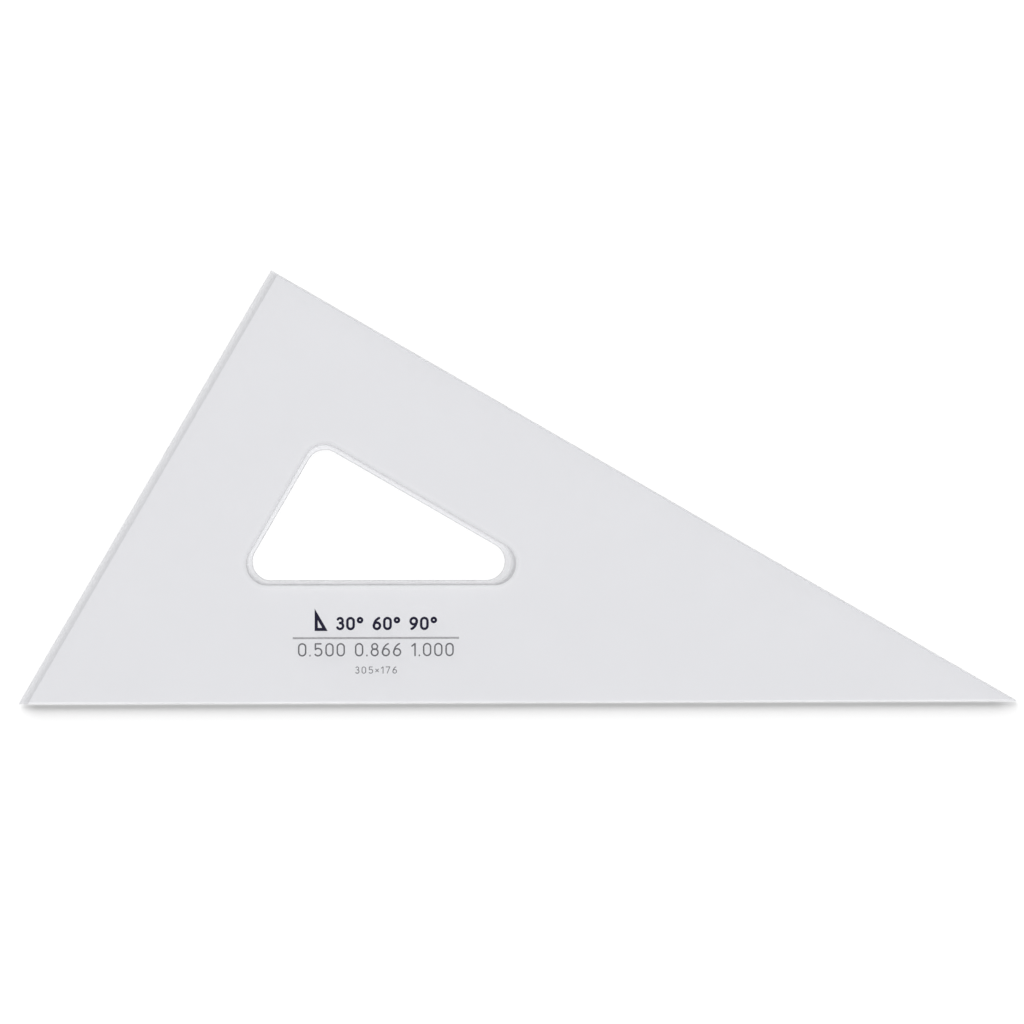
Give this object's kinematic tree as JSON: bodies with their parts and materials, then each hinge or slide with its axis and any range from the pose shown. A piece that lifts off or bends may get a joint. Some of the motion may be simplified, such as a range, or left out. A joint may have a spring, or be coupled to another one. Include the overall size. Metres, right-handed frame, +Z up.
{
  "type": "drafting triangle",
  "caption": "Flat clear acrylic 30/60/90 drafting triangle with relieved ruling edges, a rounded undercut finger opening and printed numerals.",
  "frame": {"origin": "on the underside, below the middle of the bounding box", "axes": "+X along the hypotenuse from the 60 degree corner to the 30 degree corner, +Y from the hypotenuse towards the right angle, +Z up out of the printed face"},
  "size_m": [0.352, 0.1524, 0.0025],
  "materials": {
    "acrylic_clear": "polished",
    "ink_navy": "satin",
    "ink_grey": "satin",
    "ink_pale_grey": "satin"
  },
  "bodies": {
    "root": {"acrylic_plate": "acrylic_clear", "print_triangle_symbol": "ink_navy", "print_angle_numerals": "ink_navy", "print_rule_line": "ink_grey", "print_sine_numerals": "ink_grey", "print_size_numerals": "ink_pale_grey"}
  },
  "joints": []
}
